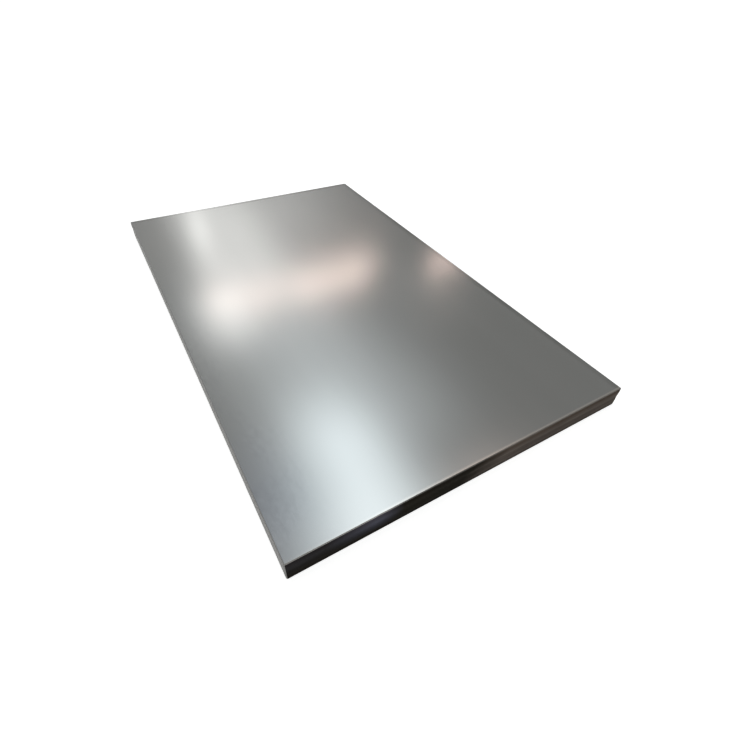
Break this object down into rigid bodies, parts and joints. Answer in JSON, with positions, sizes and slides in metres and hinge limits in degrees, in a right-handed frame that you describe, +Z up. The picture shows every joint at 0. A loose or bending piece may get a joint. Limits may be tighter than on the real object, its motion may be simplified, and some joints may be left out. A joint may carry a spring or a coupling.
{
  "type": "steel plate",
  "caption": "Flat rectangular rolled steel plate with a bright satin top face and dark mill edges, raw stock for cutting, drilling, welding and fabrication.",
  "frame": {"origin": "centre of the underside, on the surface that the plate lies on", "axes": "+X along the length, +Y across the width, +Z up through the thickness, out of the bright top face"},
  "size_m": [2, 1.22, 0.08],
  "materials": {
    "rolled_steel": "bright satin rolled faces, dark oxidised mill edges"
  },
  "bodies": {
    "root": {"steel_plate": "rolled_steel"}
  },
  "joints": []
}
